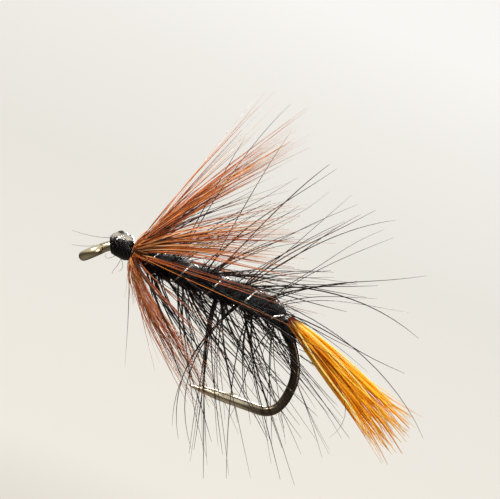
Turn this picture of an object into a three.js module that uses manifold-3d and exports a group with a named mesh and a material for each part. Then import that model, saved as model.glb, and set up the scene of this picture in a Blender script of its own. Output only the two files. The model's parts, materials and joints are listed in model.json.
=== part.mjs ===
// A palmered trout fly on a size 10 hook. A bronzed, forged wire hook carries a tail of golden
// crest feathers, a black fur body ribbed with silver tinsel, a black hackle wound along the body
// in open turns, a swept-back brown hackle behind the head, and a varnished head of black thread.
//
// Millimetres. +X runs along the hook shank from the eye to the bend, +Z is up (the hook point
// hangs below the shank) and -Y is the near side. The origin is the centre of the hook eye.
// Places on the hook are given as a distance along its wire, measured from the eye ring, and as a
// clock angle round the wire: 0 is the far side, 90 the top, 180 the near side, 270 underneath.

import * as THREE from 'three';
import { mergeVertices } from 'three/addons/utils/BufferGeometryUtils.js';
import Module from 'manifold-3d';

const wasm = await Module();
wasm.setup();

// Hook
const WIRE_D = 0.56;
const EYE_WIRE_D = 0.56;
const EYE_HOLE_D = 0.64;
const EYE_TURN_DOWN = 45;
const SHANK_RISE = 0.8;
const NECK_REACH = 0.4;
const SHANK_LENGTH = 8.86;
const BEND_REACH = 3.32;
const BEND_DROP = 3.57;
const GAPE = 5.62;
const HEEL_REACH = 1.36;
const SPEAR_LENGTH = 4.17;
const POINT_DROP = 0.15;
const POINT_TAPER = 1.9;
const POINT_TIP_D = 0.03;
const FORGED_THICKNESS = 0.43;
const BARB_BACK = 2.9;
const BARB_LENGTH = 1.05;
const BARB_LIFT = 0.24;
const BARB_THICKNESS = 0.2;

// Wound layers
const FIT = 0.02;
const THREAD_BUILD = 0.06;
const THREAD_PAST_BODY = 1.25;
const HEAD_START = 0.46;
const HEAD_LENGTH = 1.29;
const HEAD_FRONT_D = 0.78;
const HEAD_BACK_D = 1.16;
const VARNISH_COAT = 0.05;
const VARNISH_LUMP = 0.36;
const COLLAR_LENGTH = 0.56;
const COLLAR_QUILL_D = 0.15;
const COLLAR_TURNS = 3;
const BODY_D = 1.6;
const BODY_PAST_SHANK = 1.55;
const BODY_TURNS = 4.5;
const RIB_WIDTH = 0.4;
const RIB_THICKNESS = 0.07;
const RIB_VALLEY = 0.24;
const BODY_QUILL_D = 0.12;
const QUILL_VALLEY = 0.16;

// Feather barbs
const BARB_ROOT_D = 0.09;
const BARB_TIP_D = 0.04;
const BAR_D = 0.16;
const BAR_GAP = 0.05;
const TAIL_ROOT_D = 0.22;
const TAIL_TIP_D = 0.06;

const toRadians = THREE.MathUtils.degToRad;
const FAR = new THREE.Vector3(0, 1, 0);

// ---- solids ----

// A closed mesh as a solid that can be joined to others and cut.
function toSolid(geometry) {
  const bare = geometry.clone();
  bare.deleteAttribute('normal');
  bare.deleteAttribute('uv');
  const merged = mergeVertices(bare, 1e-5);
  const vertProperties = new Float32Array(merged.attributes.position.array);
  const triVerts = new Uint32Array(merged.index.array);
  return new wasm.Manifold(new wasm.Mesh({ numProp: 3, vertProperties, triVerts }));
}

function toGeometry(solid) {
  const { vertProperties, triVerts } = solid.getMesh();
  const geometry = new THREE.BufferGeometry();
  geometry.setAttribute('position', new THREE.BufferAttribute(vertProperties, 3));
  geometry.setIndex(new THREE.BufferAttribute(triVerts, 1));
  geometry.computeVertexNormals();
  return geometry;
}

function joined(geometries) {
  const solids = geometries.map(toSolid);
  return toGeometry(solids.reduce((whole, next) => whole.add(next)));
}

function moveVertices(geometry, move) {
  const { position } = geometry.attributes;
  for (let i = 0; i < position.count; i += 1) {
    const moved = move(new THREE.Vector3().fromBufferAttribute(position, i));
    position.setXYZ(i, moved.x, moved.y, moved.z);
  }
  geometry.computeVertexNormals();
  return geometry;
}

function evenSteps(start, end, count) {
  return Array.from({ length: count + 1 }, (_, i) => start + ((end - start) * i) / count);
}

// Place and directions at a distance along a path: side is kept square to the path.
function frameOn(pointAt, sideAt) {
  const step = 1e-3;
  return (distance) => {
    const centre = pointAt(distance);
    const along = pointAt(distance + step).sub(pointAt(distance - step)).normalize();
    const side = sideAt(distance).clone();
    side.addScaledVector(along, -side.dot(along)).normalize();
    return { centre, along, side, up: along.clone().cross(side) };
  };
}

// A bar along a path: a cylinder whose rows are laid at the given distances. The section is half
// its size across side and half its size across up.
function rod(distances, sides, frameAt, sectionAt, firstCorner = 0) {
  const last = distances.length - 1;
  const frames = distances.map(frameAt);
  const sections = distances.map(sectionAt);
  const cylinder = new THREE.CylinderGeometry(1, 1, 1, sides, last, false, firstCorner);
  return moveVertices(cylinder, (v) => {
    const row = Math.round((0.5 - v.y) * last);
    const { centre, side, up } = frames[row];
    const [across, high] = sections[row];
    return centre.clone().addScaledVector(side, v.x * across).addScaledVector(up, v.z * high);
  });
}

const round = (diameter) => () => [diameter / 2, diameter / 2];

// ---- the wire's path ----

const eyeTilt = toRadians(EYE_TURN_DOWN);
const eyeRingRadius = (EYE_HOLE_D + EYE_WIRE_D) / 2;
const onPlane = (x, z) => new THREE.Vector3(x, 0, z);

const ringBack = onPlane(eyeRingRadius * Math.cos(eyeTilt), eyeRingRadius * Math.sin(eyeTilt));
const neckCorner = onPlane(SHANK_RISE / Math.tan(eyeTilt), SHANK_RISE);
const shankFront = onPlane(neckCorner.x + NECK_REACH, SHANK_RISE);
const shankEnd = onPlane(shankFront.x + SHANK_LENGTH, SHANK_RISE);
const bendBack = onPlane(shankEnd.x + BEND_REACH, SHANK_RISE - BEND_DROP);
const heel = onPlane(bendBack.x - HEEL_REACH, SHANK_RISE - GAPE);
const pointTip = onPlane(heel.x - SPEAR_LENGTH, heel.z - POINT_DROP);

// The bend leaves the shank gently, drops almost straight at its back and turns tightly into the
// spear: each handle is a share of the stretch it shapes.
const bendHandles = { shoulder: 0.5, flank: 0.39, back: 0.72, sole: 0.65 };
const heelDrop = bendBack.z - heel.z;

const wire = new THREE.CurvePath();
wire.add(new THREE.QuadraticBezierCurve3(ringBack, neckCorner, shankFront));
wire.add(new THREE.LineCurve3(shankFront, shankEnd));
wire.add(new THREE.CubicBezierCurve3(
  shankEnd,
  onPlane(shankEnd.x + bendHandles.shoulder * BEND_REACH, shankEnd.z),
  onPlane(bendBack.x, bendBack.z + bendHandles.flank * BEND_DROP),
  bendBack,
));
wire.add(new THREE.CubicBezierCurve3(
  bendBack,
  onPlane(bendBack.x, bendBack.z - bendHandles.back * heelDrop),
  onPlane(heel.x + bendHandles.sole * HEEL_REACH, heel.z),
  heel,
));
wire.add(new THREE.LineCurve3(heel, pointTip));

const wireLength = wire.getLength();
const [neckLength, , upperBendLength, lowerBendLength] = wire.curves.map((c) => c.getLength());
const shankEndAt = neckLength + SHANK_LENGTH;
const bendBackAt = shankEndAt + upperBendLength;
const heelAt = bendBackAt + lowerBendLength;

function wirePoint(distance) {
  const inside = THREE.MathUtils.clamp(distance, 0, wireLength);
  return wire.getPoint(inside / wireLength);
}
const wireFrame = frameOn(wirePoint, () => FAR);

// Bends a shape that was turned round the Y axis onto the wire: its height becomes distance.
function onWire(geometry) {
  return moveVertices(geometry, (v) => {
    const { centre, side, up } = wireFrame(v.y);
    return centre.clone().addScaledVector(side, v.x).addScaledVector(up, -v.z);
  });
}

function outwardAt(distance, clock) {
  const { side, up } = wireFrame(distance);
  return side.clone().multiplyScalar(Math.cos(clock)).addScaledVector(up, Math.sin(clock));
}

// A frame that runs round the wire in turns, facing outwards.
function coilFrame(radiusAt, clockAt) {
  const outward = (distance) => outwardAt(distance, clockAt(distance));
  const pointAt = (distance) =>
    wirePoint(distance).addScaledVector(outward(distance), radiusAt(distance));
  return frameOn(pointAt, outward);
}

// A sleeve turned round the Y axis, with its outside and its hole each stepped as it needs.
function sleeve(sides, outsideSteps, outsideAt, holeSteps, holeAt) {
  const outside = outsideSteps.map((d) => new THREE.Vector2(outsideAt(d), d));
  const hole = holeSteps.map((d) => new THREE.Vector2(holeAt(d), d)).reverse();
  return new THREE.LatheGeometry([...outside, ...hole, outside[0]], sides);
}

// ---- where each layer starts and ends ----

const headEnd = HEAD_START + HEAD_LENGTH;
const collarStart = headEnd + 3 * FIT;
const collarEnd = collarStart + COLLAR_LENGTH;
const bodyStart = collarEnd + 3 * FIT;
const bodyEnd = shankEndAt + BODY_PAST_SHANK;
const threadEnd = bodyEnd + THREAD_PAST_BODY;
const bodyPitch = (bodyEnd - bodyStart) / BODY_TURNS;

const sleeveHole = WIRE_D / 2 + FIT;
const threadRadius = sleeveHole + THREAD_BUILD;

// ---- hook ----

function wireSection(distance) {
  const toTip = wireLength - distance;
  const neck = Math.min(distance / neckLength, 1);
  const full = THREE.MathUtils.lerp(EYE_WIRE_D, WIRE_D, neck) / 2;
  const taper = Math.sqrt(Math.min(toTip / POINT_TAPER, 1));
  const radius = Math.max(full * taper, POINT_TIP_D / 2);
  return [radius, radius];
}

// The bend is hammered flat on both sides, for strength, from past the body to past the heel.
function forged(geometry) {
  const forgedStart = wirePoint(threadEnd + FIT);
  const limit = FORGED_THICKNESS / 2;
  return moveVertices(geometry, (v) => {
    const inBend = v.x > forgedStart.x && v.z < forgedStart.z + WIRE_D;
    const onSpear = v.x > heel.x - HEEL_REACH && v.z < heel.z + WIRE_D;
    if (inBend || onSpear) v.y = THREE.MathUtils.clamp(v.y, -limit, limit);
    return v;
  });
}

function buildHook() {
  const steps = [
    ...evenSteps(0, neckLength, 4),
    ...evenSteps(shankEndAt, heelAt, 24),
    ...evenSteps(heelAt, wireLength - POINT_TAPER, 4).slice(1),
    ...evenSteps(wireLength - POINT_TAPER, wireLength, 6).slice(1),
  ];
  const bar = forged(rod(steps, 10, wireFrame, wireSection));

  const eye = new THREE.TorusGeometry(eyeRingRadius, EYE_WIRE_D / 2, 8, 24);
  eye.rotateY(-eyeTilt);

  // The barb is a sliver raised from the top of the spear, its free end towards the bend.
  const barbFoot = wirePoint(wireLength - BARB_BACK + BARB_LENGTH);
  const outline = new THREE.Shape();
  outline.moveTo(0, 0);
  outline.lineTo(BARB_LENGTH, WIRE_D / 2 + BARB_LIFT);
  outline.lineTo(BARB_LENGTH * 0.72, 0);
  const sliver = new THREE.ExtrudeGeometry(outline, { depth: BARB_THICKNESS, bevelEnabled: false });
  sliver.rotateX(Math.PI / 2);
  sliver.translate(barbFoot.x, BARB_THICKNESS / 2, barbFoot.z);
  return joined([bar, eye, sliver]);
}

// ---- thread, head and varnish ----

function buildThreadBase() {
  const taperStart = threadEnd - 3 * THREAD_BUILD;
  const steps = [collarStart, ...evenSteps(shankEndAt, taperStart, 6), threadEnd];
  const outsideAt = (d) => (d > taperStart ? sleeveHole + THREAD_BUILD / 3 : threadRadius);
  return onWire(sleeve(12, steps, outsideAt, steps, () => sleeveHole));
}

function headRadius(distance) {
  const share = (distance - HEAD_START) / HEAD_LENGTH;
  const cone = THREE.MathUtils.lerp(HEAD_FRONT_D, HEAD_BACK_D, Math.sqrt(Math.max(share, 0))) / 2;
  const backRound = 1 - 0.18 * THREE.MathUtils.smoothstep(share, 0.75, 1);
  return cone * backRound;
}

function buildHead() {
  const steps = evenSteps(HEAD_START, headEnd, 7);
  return onWire(sleeve(16, steps, headRadius, evenSteps(HEAD_START, headEnd, 3), () => sleeveHole));
}

// Varnish runs over the whole head and gathers in a lump on top.
function buildVarnish() {
  const inset = 2 * FIT;
  const steps = evenSteps(HEAD_START + inset, headEnd - inset, 8);
  const holeAt = (d) => headRadius(d) + FIT;
  const shell = sleeve(16, steps, (d) => holeAt(d) + VARNISH_COAT, steps, holeAt);
  const lumpAt = HEAD_START + 0.55 * HEAD_LENGTH;
  moveVertices(shell, (v) => {
    const radius = Math.hypot(v.x, v.z);
    if (radius < holeAt(v.y) + VARNISH_COAT / 2) return v;
    const fromTop = Math.max(-v.z / radius, 0);
    const lump = VARNISH_LUMP * fromTop ** 4 * Math.exp(-(((v.y - lumpAt) / 0.42) ** 4));
    const scale = (radius + lump) / radius;
    return v.set(v.x * scale, v.y, v.z * scale);
  });
  return onWire(shell);
}

// ---- body, tinsel and the two hackle quills ----

const quillClock = (d) => Math.PI / 2 - (2 * Math.PI * (d - bodyStart)) / bodyPitch;
const ribClock = (d) => quillClock(d) + Math.PI;

// The body is full along its length and closes in at both ends.
function bodyRadius(distance) {
  const middle = (2 * (distance - bodyStart)) / (bodyEnd - bodyStart) - 1;
  return (BODY_D / 2) * (1 - 0.3 * Math.abs(middle) ** 8);
}

// How far below the crest the fur is pressed at a distance along the body from a winding.
function pressed(distance, clock, windingClock, depth, width) {
  const turn = (clock - windingClock(distance)) / (2 * Math.PI);
  const off = (turn - Math.round(turn)) * bodyPitch;
  return depth * Math.exp(-((off / width) ** 2));
}

function buildBody() {
  const holeSteps = [bodyStart, ...evenSteps(shankEndAt, bodyEnd, 4)];
  const holeRadius = threadRadius + FIT;
  const steps = evenSteps(bodyStart, bodyEnd, 48);
  const shell = sleeve(16, steps, bodyRadius, holeSteps, () => holeRadius);
  moveVertices(shell, (v) => {
    const radius = Math.hypot(v.x, v.z);
    if (radius < holeRadius + FIT) return v;
    const clock = Math.atan2(-v.z, v.x);
    const rib = pressed(v.y, clock, ribClock, RIB_VALLEY, RIB_WIDTH);
    const quill = pressed(v.y, clock, quillClock, QUILL_VALLEY, 2.4 * BODY_QUILL_D);
    const scale = (radius - rib - quill) / radius;
    return v.set(v.x * scale, v.y, v.z * scale);
  });
  return onWire(shell);
}

function buildRib() {
  const seat = RIB_VALLEY - RIB_THICKNESS / 2 - 3.5 * FIT;
  const frameAt = coilFrame((d) => bodyRadius(d) - seat, ribClock);
  const steps = evenSteps(bodyStart + RIB_WIDTH, bodyEnd - RIB_WIDTH, BODY_TURNS * 18);
  const cornerReach = Math.SQRT1_2;
  const section = [RIB_THICKNESS * cornerReach, RIB_WIDTH * cornerReach];
  return rod(steps, 4, frameAt, () => section, Math.PI / 4);
}

function buildBodyQuill() {
  const seat = QUILL_VALLEY - BODY_QUILL_D / 2 - 2.5 * FIT;
  const frameAt = coilFrame((d) => bodyRadius(d) - seat, quillClock);
  const steps = evenSteps(bodyStart + BODY_QUILL_D, bodyEnd - RIB_WIDTH, BODY_TURNS * 16);
  return rod(steps, 4, frameAt, round(BODY_QUILL_D));
}

const collarQuillRadius = threadRadius + FIT + COLLAR_QUILL_D / 2;

function buildCollarQuill() {
  const first = collarStart + COLLAR_QUILL_D / 2 + FIT;
  const last = collarEnd - COLLAR_QUILL_D / 2 - FIT;
  const clockAt = (d) => (-2 * Math.PI * COLLAR_TURNS * (d - first)) / (last - first);
  const frameAt = coilFrame(() => collarQuillRadius + FIT, clockAt);
  return rod(evenSteps(first, last, COLLAR_TURNS * 14), 4, frameAt, round(COLLAR_QUILL_D));
}

// ---- bunches of barbs ----

// A bunch of barbs stands on a short root bar that lies across the wire. The mesh's own frame is
// the bunch's hinge: X along the wire, Y along the bar, Z outwards, so a positive turn about Y
// sweeps the barbs back towards the bend.
function placeOnWire(mesh, distance, clock, standOff) {
  const { centre, along } = wireFrame(distance);
  const outward = outwardAt(distance, toRadians(clock));
  const hinge = outward.clone().cross(along);
  mesh.quaternion.setFromRotationMatrix(new THREE.Matrix4().makeBasis(along, hinge, outward));
  mesh.position.copy(centre).addScaledVector(outward, standOff);
}

// One barb: it leaves its root at a lean from the wire, turned aside by fan, and bows by droop.
function barb({ rootY, length, lean, fan, droop, rootD, tipD, steps }) {
  const direction = (angle) => new THREE.Vector3(
    Math.cos(angle),
    Math.sin(angle) * Math.sin(fan),
    Math.sin(angle) * Math.cos(fan),
  );
  const root = new THREE.Vector3(0, rootY, 0);
  const middle = root.clone().addScaledVector(direction(lean + droop), length / 2);
  const tip = root.clone().addScaledVector(direction(lean), length);
  const curve = new THREE.QuadraticBezierCurve3(root, middle, tip);
  const frameAt = frameOn(
    (share) => curve.getPoint(THREE.MathUtils.clamp(share, 0, 1)),
    () => new THREE.Vector3(0, 1, 0),
  );
  const sectionAt = (share) => {
    const half = THREE.MathUtils.lerp(rootD, tipD, share) / 2;
    return [half, half];
  };
  return rod(evenSteps(0, 1, steps), 3, frameAt, sectionAt);
}

// Lengths and leans vary from barb to barb in a fixed, uneven order.
function uneven(index, step) {
  return ((index * step) % 1) - 0.5;
}

function bunch({ count, halfBar, length, lean, leanSpread, fan, droop, steps, rootD, tipD }) {
  const bar = new THREE.CylinderGeometry(BAR_D / 2, BAR_D / 2, 2 * halfBar + 1.6 * rootD, 7);
  const barbs = evenSteps(-1, 1, count - 1).map((share, i) => barb({
    rootY: share * halfBar,
    length: length * (0.9 + 0.2 * uneven(i + 1, 0.618)),
    lean: toRadians(lean + leanSpread * uneven(i + 1, 0.382)),
    fan: toRadians(share * fan),
    droop: toRadians(droop),
    rootD,
    tipD,
    steps,
  }));
  return joined([bar, ...barbs]);
}

// ---- assembly ----

const looks = {
  bronzedSteel: { color: 0x5b4e3e, roughness: 0.32, metalness: 1.0 },
  blackThread: { color: 0x0d0c0d, roughness: 0.5, metalness: 0.0 },
  varnish: { color: 0x5c4e46, roughness: 0.08, metalness: 0.0 },
  blackFur: { color: 0x121011, roughness: 0.75, metalness: 0.0 },
  silverTinsel: { color: 0xc9ccce, roughness: 0.22, metalness: 1.0 },
  blackFeather: { color: 0x15110f, roughness: 0.4, metalness: 0.0 },
  brownFeather: { color: 0x9a4f26, roughness: 0.45, metalness: 0.0 },
  goldenFeather: { color: 0xdc9409, roughness: 0.4, metalness: 0.0 },
};

const fly = new THREE.Group();

function addPiece(name, geometry, look) {
  const mesh = new THREE.Mesh(geometry, new THREE.MeshStandardMaterial(look));
  mesh.name = name;
  fly.add(mesh);
  return mesh;
}

addPiece('hook', buildHook(), looks.bronzedSteel);
addPiece('thread_base', buildThreadBase(), looks.blackThread);

// Tail: three crest feathers tied in side by side on top of the wire, behind the body.
const tailAt = bodyEnd + 0.3;
const tailStandOff = threadRadius + BAR_GAP + TAIL_ROOT_D / 2;
const tailFeathers = [
  { acrossWire: 0, length: 9.4, lean: 11, fan: 5, count: 5 },
  { acrossWire: -1, length: 8.9, lean: 3, fan: 8, count: 4 },
  { acrossWire: 1, length: 9.6, lean: 18, fan: 7, count: 4 },
];
tailFeathers.forEach(({ acrossWire, length, lean, fan, count }, i) => {
  const halfBar = 0.14;
  const feather = bunch({
    count,
    halfBar,
    length,
    lean,
    leanSpread: 5,
    fan: 0,
    droop: 4,
    steps: 4,
    rootD: TAIL_ROOT_D,
    tipD: TAIL_TIP_D,
  });
  moveVertices(feather, (v) => {
    v.y += Math.tan(toRadians(fan)) * v.x * (v.y / halfBar / 4 + acrossWire);
    return v;
  });
  const mesh = addPiece(`tail_feather_${i + 1}`, feather, looks.goldenFeather);
  placeOnWire(mesh, tailAt, 90, tailStandOff);
  mesh.position.y += acrossWire * (2 * halfBar + TAIL_ROOT_D + FIT);
});

addPiece('body_dubbing', buildBody(), looks.blackFur);
addPiece('rib_tinsel', buildRib(), looks.silverTinsel);
addPiece('body_hackle_quill', buildBodyQuill(), looks.blackFeather);

// Body hackle: a bunch at each quarter turn of the quill. It leans back more towards the tail.
const quarterNames = ['top', 'far', 'under', 'near'];
const frontLean = { top: 68, near: 52, under: 62, far: 52 };
const rearLean = { top: 48, near: 36, under: 78, far: 36 };
const quarterLength = { top: 9.6, near: 9.2, under: 9, far: 9.2 };
const quarterTurns = 4 * BODY_TURNS;
for (let i = 0; i < quarterTurns; i += 1) {
  const quarter = quarterNames[i % 4];
  const back = i / (quarterTurns - 1);
  const lean = THREE.MathUtils.lerp(frontLean[quarter], rearLean[quarter], back);
  const geometry = bunch({
    count: 6,
    halfBar: 0.5,
    length: quarterLength[quarter],
    lean,
    leanSpread: 14,
    fan: 37,
    droop: quarter === 'under' ? 5 : 8,
    steps: 2,
    rootD: BARB_ROOT_D,
    tipD: BARB_TIP_D,
  });
  const turn = Math.floor(i / 4) + 1;
  const mesh = addPiece(`body_hackle_${turn}_${quarter}`, geometry, looks.blackFeather);
  const distance = bodyStart + (bodyPitch * (i + 0.5)) / 4;
  placeOnWire(mesh, distance, 90 - 90 * i, BODY_D / 2 + BAR_GAP + BAR_D / 2);
}

// Collar hackle: eight bunches round the wire behind the head, in the order of the clock.
addPiece('collar_quill', buildCollarQuill(), looks.brownFeather);
const collarBunches = [
  { place: 'top', lean: 62, length: 12 },
  { place: 'near_upper', lean: 55, length: 12.2 },
  { place: 'near', lean: 28, length: 13.4 },
  { place: 'near_lower', lean: 44, length: 11 },
  { place: 'under', lean: 48, length: 10 },
  { place: 'far_lower', lean: 44, length: 11 },
  { place: 'far', lean: 28, length: 13.4 },
  { place: 'far_upper', lean: 55, length: 12.2 },
];
const collarStandOff = collarQuillRadius + COLLAR_QUILL_D / 2 + BAR_GAP + BAR_D / 2;
collarBunches.forEach(({ place, lean, length }, i) => {
  const geometry = bunch({
    count: 8,
    halfBar: 0.17,
    length,
    lean,
    leanSpread: 15,
    fan: 19,
    droop: 6,
    steps: 3,
    rootD: BARB_ROOT_D,
    tipD: BARB_TIP_D,
  });
  const mesh = addPiece(`collar_hackle_${place}`, geometry, looks.brownFeather);
  const clock = 90 + (360 / collarBunches.length) * i;
  placeOnWire(mesh, (collarStart + collarEnd) / 2, clock, collarStandOff);
});

addPiece('head_thread', buildHead(), looks.blackThread);
addPiece('head_varnish', buildVarnish(), looks.varnish);

export default fly;
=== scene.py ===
import json
import math

import bmesh
import bpy
import numpy as np
from mathutils import Matrix, Vector


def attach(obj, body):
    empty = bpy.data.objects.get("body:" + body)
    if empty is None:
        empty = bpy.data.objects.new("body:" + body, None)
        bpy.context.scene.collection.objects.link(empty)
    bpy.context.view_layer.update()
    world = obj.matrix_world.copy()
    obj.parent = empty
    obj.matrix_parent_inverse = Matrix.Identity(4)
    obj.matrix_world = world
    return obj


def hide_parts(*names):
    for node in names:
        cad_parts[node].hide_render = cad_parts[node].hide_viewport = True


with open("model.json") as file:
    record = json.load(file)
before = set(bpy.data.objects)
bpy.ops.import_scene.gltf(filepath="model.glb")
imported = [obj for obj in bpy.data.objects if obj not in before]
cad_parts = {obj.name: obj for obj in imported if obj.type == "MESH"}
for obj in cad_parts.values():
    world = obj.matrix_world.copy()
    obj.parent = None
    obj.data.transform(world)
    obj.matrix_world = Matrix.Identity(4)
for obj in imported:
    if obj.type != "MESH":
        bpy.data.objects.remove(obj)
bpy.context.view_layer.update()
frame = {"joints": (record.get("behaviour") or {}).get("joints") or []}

# Palmered trout fly. Sizes are in millimetres until a mesh is made, which is in metres.


# ---- Hook -------------------------------------------------------------------------------------
# One piece of round steel wire with a bronzed finish. The front end is turned down and curled into
# the eye, the bend is hammered flat on both sides, and the point is ground to a needle with a barb
# raised behind it. Nothing holds it: everything else is wound onto it.

hook_stretches = [
    [(0.410, 0, 0.410), (0.8, 0, 0.8), (1.2, 0, 0.8)],
    [(1.2, 0, 0.8), (10.06, 0, 0.8)],
    [(10.06, 0, 0.8), (11.72, 0, 0.8), (13.38, 0, -1.378), (13.38, 0, -2.77)],
    [(13.38, 0, -2.77), (13.38, 0, -4.246), (12.904, 0, -4.82), (12.02, 0, -4.82)],
    [(12.02, 0, -4.82), (7.85, 0, -4.97)],
]
wire_radius = 0.28
eye_wire_radius = 0.285
eye_radius = 0.58
forged_half = 0.215
point_taper = 1.9
thread_end = 12.56
heel_at = 17.85


def bezier(corners, count):
    """Points in mm along a Bezier curve with any number of handles."""
    share = np.linspace(0, 1, count)[:, None]
    rows = [np.array(corner, float) * np.ones_like(share) for corner in corners]
    while len(rows) > 1:
        rows = [a + (b - a) * share for a, b in zip(rows, rows[1:])]
    return rows[0]


wire_points = np.vstack([bezier(corners, 240)[:-1] for corners in hook_stretches])
wire_points = np.vstack([wire_points, hook_stretches[-1][-1]])
wire_places = np.append(0, np.cumsum(np.linalg.norm(np.diff(wire_points, axis=0), axis=1)))
wire_length = wire_places[-1]


def unit(vectors):
    return vectors / np.linalg.norm(vectors, axis=-1, keepdims=True)


def wire_centre(place):
    """The middle of the wire at a distance in mm along it from the eye."""
    place = np.asarray(place, float)
    return np.stack([np.interp(place, wire_places, wire_points[:, i]) for i in range(3)], -1)


def wire_along(place):
    place = np.clip(place, 0.02, wire_length - 0.02)
    return unit(wire_centre(place + 0.02) - wire_centre(place - 0.02))


def wire_outward(place, clock):
    """Outwards from the wire. Clock in degrees: 0 is the far side, 90 the top, 180 the near side."""
    along = wire_along(place)
    up = np.stack([-along[..., 2], along[..., 1] * 0, along[..., 0]], -1)
    clock = np.radians(clock)[..., None]
    return np.array([0, 1.0, 0]) * np.cos(clock) + up * np.sin(clock)


def straight_bar(corners, cuts):
    """A bar of unit radius and unit length, cut into rings along its length, as points and faces."""
    bpy.ops.object.select_all(action="DESELECT")
    bpy.ops.mesh.primitive_cylinder_add(vertices=corners, radius=1, depth=1)
    bar = bpy.context.object
    bpy.ops.object.mode_set(mode="EDIT")
    bpy.ops.mesh.select_mode(type="EDGE")
    for count in cuts:
        rings = bmesh.from_edit_mesh(bar.data)
        for edge in rings.edges:
            edge.select_set(abs(edge.verts[0].co.z - edge.verts[1].co.z) > 1e-6)
        bmesh.update_edit_mesh(bar.data)
        bpy.ops.mesh.subdivide(number_cuts=count)
    bpy.ops.mesh.select_mode(type="VERT")
    bpy.ops.object.mode_set(mode="OBJECT")
    points = np.array([corner.co for corner in bar.data.vertices]) + np.array([0, 0, 0.5])
    faces = [tuple(face.vertices) for face in bar.data.polygons]
    bpy.data.objects.remove(bar)
    return points, faces


def bend_bars(name, bar, paths, wide, high, facing, chance):
    """One mesh of copies of a straight bar, each bent along its own path of points in mm.

    wide and high are the half sizes at each point of each path, and facing is the way the width lies.
    Each copy keeps two attributes for its material: how far along it is, and its own chance number."""
    points, faces = bar
    last = paths.shape[1] - 1
    ring = np.rint(points[:, 2] * last).astype(int)
    along = unit(np.gradient(paths, axis=1))
    side = unit(facing - along * np.sum(facing * along, axis=2, keepdims=True))
    high_side = np.cross(along, side)
    wide = np.broadcast_to(wide, paths.shape[:2])[:, ring] * points[:, 0]
    high = np.broadcast_to(high, paths.shape[:2])[:, ring] * points[:, 1]
    spots = paths[:, ring] + side[:, ring] * wide[..., None] + high_side[:, ring] * high[..., None]
    count = len(points)
    shifted = [tuple(i + b * count for i in face) for b in range(len(paths)) for face in faces]
    mesh = bpy.data.meshes.new(name)
    mesh.from_pydata(spots.reshape(-1, 3) * 0.001, [], shifted)
    mesh.polygons.foreach_set("use_smooth", np.ones(len(shifted), bool))
    shares = {"along": np.tile(points[:, 2], len(paths)), "chance": np.repeat(chance, count)}
    for key, values in shares.items():
        mesh.attributes.new(key, "FLOAT", "POINT").data.foreach_set("value", values.astype(np.float32))
    mesh.validate()
    piece = bpy.data.objects.new(name, mesh)
    bpy.context.scene.collection.objects.link(piece)
    return piece


def paint(code):
    """An sRGB hex colour as the linear colour that a socket takes."""
    values = [int(code[i:i + 2], 16) / 255 for i in (1, 3, 5)]
    return [v / 12.92 if v <= 0.04045 else ((v + 0.055) / 1.055) ** 2.4 for v in values] + [1.0]


def add_node(material, kind, settings, links):
    """Adds a node with its settings and constant inputs, and links its inputs from (node, output).

    The colour inputs of a mix node are 6 and 7, its share is 0 and its colour output is 2."""
    node = material.node_tree.nodes.new(kind)
    for key, value in settings.items():
        if key == "stops":
            elements = node.color_ramp.elements
            while len(elements) < len(value):
                elements.new(1.0)
            for element, (place, colour) in zip(elements, value):
                element.position = place
                element.color = paint(colour)
        elif isinstance(key, str) and hasattr(node, key):
            setattr(node, key, value)
        else:
            node.inputs[key].default_value = value
    for socket, (source, output) in links.items():
        material.node_tree.links.new(source.outputs[output], node.inputs[socket])
    return node


def new_material(name):
    material = bpy.data.materials.new(name)
    material.use_nodes = True
    material.node_tree.nodes.clear()
    return material


def noise(material, scale, detail):
    """A noise pattern that is fixed to the object, with its scale in cells per metre."""
    place = add_node(material, "ShaderNodeTexCoord", {}, {})
    settings = {"Scale": scale, "Detail": detail}
    return add_node(material, "ShaderNodeTexNoise", settings, {"Vector": (place, "Object")})


def mapped(material, source, low, high):
    """Spreads a pattern of 0 to 1 over a range, for a roughness that varies."""
    return add_node(material, "ShaderNodeMapRange", {"To Min": low, "To Max": high}, {"Value": source})


def bumped(material, source, strength, distance):
    """Lets a pattern stand up from the surface by a distance in metres."""
    settings = {"Strength": strength, "Distance": distance}
    return add_node(material, "ShaderNodeBump", settings, {"Height": source})


def add_surface(material, settings, links):
    """Ends a material with one principled surface."""
    surface = add_node(material, "ShaderNodeBsdfPrincipled", settings, links)
    add_node(material, "ShaderNodeOutputMaterial", {}, {"Surface": (surface, "BSDF")})


hook_bar = straight_bar(20, [15, 15])
hook_places = np.linspace(0, wire_length, 257)
hook_radius = np.interp(hook_places, [0, 0.9], [eye_wire_radius, wire_radius])
hook_radius = hook_radius * np.sqrt(np.clip((wire_length - hook_places) / point_taper, 0.003, 1))
far_side = np.array([[[0, 1.0, 0]]])
hook = bend_bars(
    "hook_wire", hook_bar, wire_centre(hook_places)[None], hook_radius, hook_radius, far_side, [0.5]
)

# The hammered flats of the bend come in over half a millimetre and go out again on the spear.
flat_from = np.interp(
    hook_places, [thread_end - 0.2, thread_end + 0.5, heel_at, heel_at + 1.2], [0, 1, 1, 0]
)
flat_half = wire_radius + (forged_half - wire_radius) * flat_from
along_wire = np.zeros(len(hook.data.vertices), np.float32)
hook.data.attributes["along"].data.foreach_get("value", along_wire)
for corner, share in zip(hook.data.vertices, along_wire):
    limit = np.interp(share * wire_length, hook_places, flat_half) * 0.001
    corner.co.y = min(max(corner.co.y, -limit), limit)

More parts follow.
